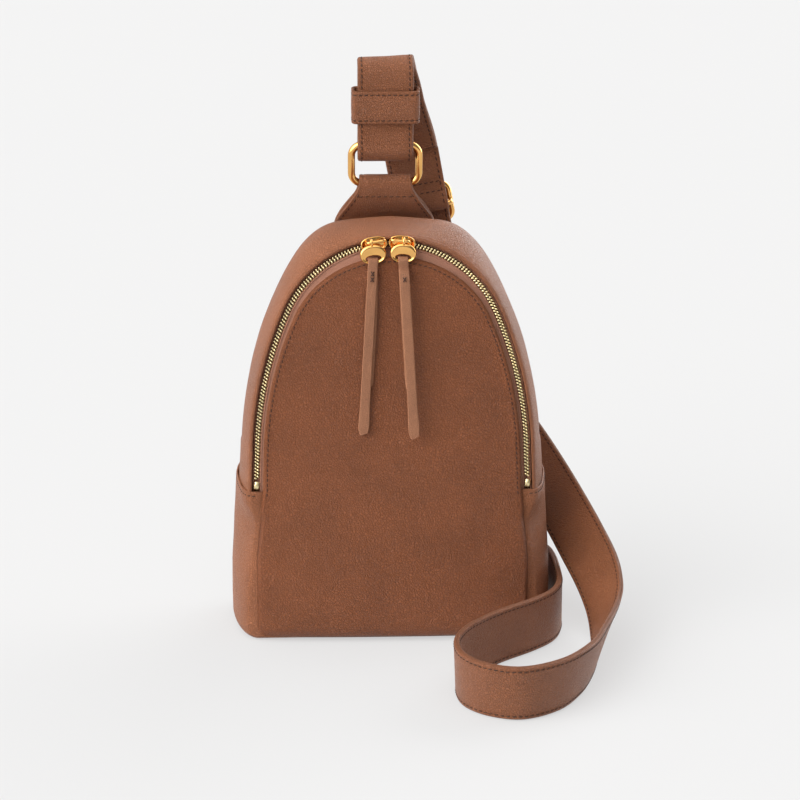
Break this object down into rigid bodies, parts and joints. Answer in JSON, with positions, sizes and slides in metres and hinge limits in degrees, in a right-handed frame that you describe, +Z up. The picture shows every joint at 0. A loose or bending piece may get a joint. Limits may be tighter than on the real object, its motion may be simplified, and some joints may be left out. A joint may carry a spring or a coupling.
{
  "type": "sling bag",
  "caption": "Teardrop leather sling bag with a two-way zip round its arched front, a ring and keeper at the top, and one long strap laid in a loop",
  "frame": {"origin": "centre of the flat base, on the surface that the bag stands on", "axes": "+X to the right as seen from the front, +Y to the back (the zip opening faces -Y), +Z up"},
  "size_m": [0.2431, 0.2515, 0.3548],
  "materials": {
    "leather": "pebbled tan full-grain leather, semi-matt",
    "hardware": "polished pale gold plating",
    "zip_teeth": "polished pale gold teeth",
    "zip_tape": "woven herringbone tape",
    "lining": "plain woven cotton",
    "thread": "waxed dark brown thread",
    "board": "stiffener sheet"
  },
  "bodies": {
    "root": {"front_panel": "leather", "front_lining": "lining", "back_panel": "leather", "back_lining": "lining", "slip_pocket": "lining", "upper_gusset": "leather", "lower_gusset": "leather", "upper_lining": "lining", "lower_lining": "lining", "base_board": "board", "teeth_outer": "zip_teeth", "zip_tape_outer": "zip_tape", "zip_stop_left": "hardware", "zip_stop_right": "hardware", "top_chape": "leather", "long_strap": "leather", "lower_chape": "leather"},
    "flap": {"front_flap": "leather", "flap_lining": "lining", "teeth_inner": "zip_teeth", "zip_tape_inner": "zip_tape"},
    "slider_left": {"slider_left": "hardware"},
    "slider_right": {"slider_right": "hardware"},
    "pull_left": {"pull_left": "hardware"},
    "pull_right": {"pull_right": "hardware"},
    "tab_left": {"tab_left": "leather"},
    "tab_right": {"tab_right": "leather"},
    "ring": {"top_ring": "hardware"},
    "strap": {"strap_loop": "leather"},
    "keeper": {"keeper": "leather"},
    "adjuster": {"adjuster": "hardware", "strap_end_fold": "leather"},
    "lower_ring": {"lower_ring": "hardware"}
  },
  "joints": [
    {"name": "flap_open", "type": "hinge", "parent": "root", "child": "flap", "pos_m": [0, -0.03814, 0.09463], "axis": [1, 0, 0], "range_deg": [0, 50]},
    {"name": "slider_left_run", "type": "hinge", "parent": "flap", "child": "slider_left", "pos_m": [0, -0.02917, 0.1788], "axis": [0, -0.9989, 0.0471], "range_deg": [0, 46]},
    {"name": "slider_right_run", "type": "hinge", "parent": "flap", "child": "slider_right", "pos_m": [0, -0.02917, 0.1788], "axis": [0, 0.9989, -0.0471], "range_deg": [0, 50]},
    {"name": "pull_left_swing", "type": "hinge", "parent": "slider_left", "child": "pull_left", "pos_m": [-0.01146, -0.03414, 0.24949], "axis": [-1, 0, 0], "range_deg": [0, 100]},
    {"name": "pull_right_swing", "type": "hinge", "parent": "slider_right", "child": "pull_right", "pos_m": [0.00662, -0.03411, 0.25011], "axis": [-1, 0, 0], "range_deg": [0, 100]},
    {"name": "tab_left_swing", "type": "hinge", "parent": "pull_left", "child": "tab_left", "pos_m": [-0.01146, -0.0347, 0.2376], "axis": [-1, 0, 0], "range_deg": [0, 60]},
    {"name": "tab_right_swing", "type": "hinge", "parent": "pull_right", "child": "tab_right", "pos_m": [0.00662, -0.03467, 0.23822], "axis": [-1, 0, 0], "range_deg": [0, 60]},
    {"name": "ring_swing", "type": "hinge", "parent": "root", "child": "ring", "pos_m": [-0.002, 0.035, 0.274], "axis": [1, 0, 0], "range_deg": [-2, 35]},
    {"name": "strap_turn", "type": "hinge", "parent": "ring", "child": "strap", "pos_m": [-0.002, 0.03, 0.2989], "axis": [1, 0, 0], "range_deg": [-2, 4]},
    {"name": "keeper_slide", "type": "slide", "parent": "strap", "child": "keeper", "axis": [0, -0.1702, 0.9854], "range_m": [-0.003, 0.005]},
    {"name": "adjuster_slide", "type": "slide", "parent": "strap", "child": "adjuster", "axis": [-0.1805, 0, 0.9836], "range_m": [0, 0.008]},
    {"name": "lower_ring_turn", "type": "hinge", "parent": "root", "child": "lower_ring", "pos_m": [0.0221, 0.0515, 0.0237], "axis": [0, 0, 1], "range_deg": [-2, 2]}
  ]
}
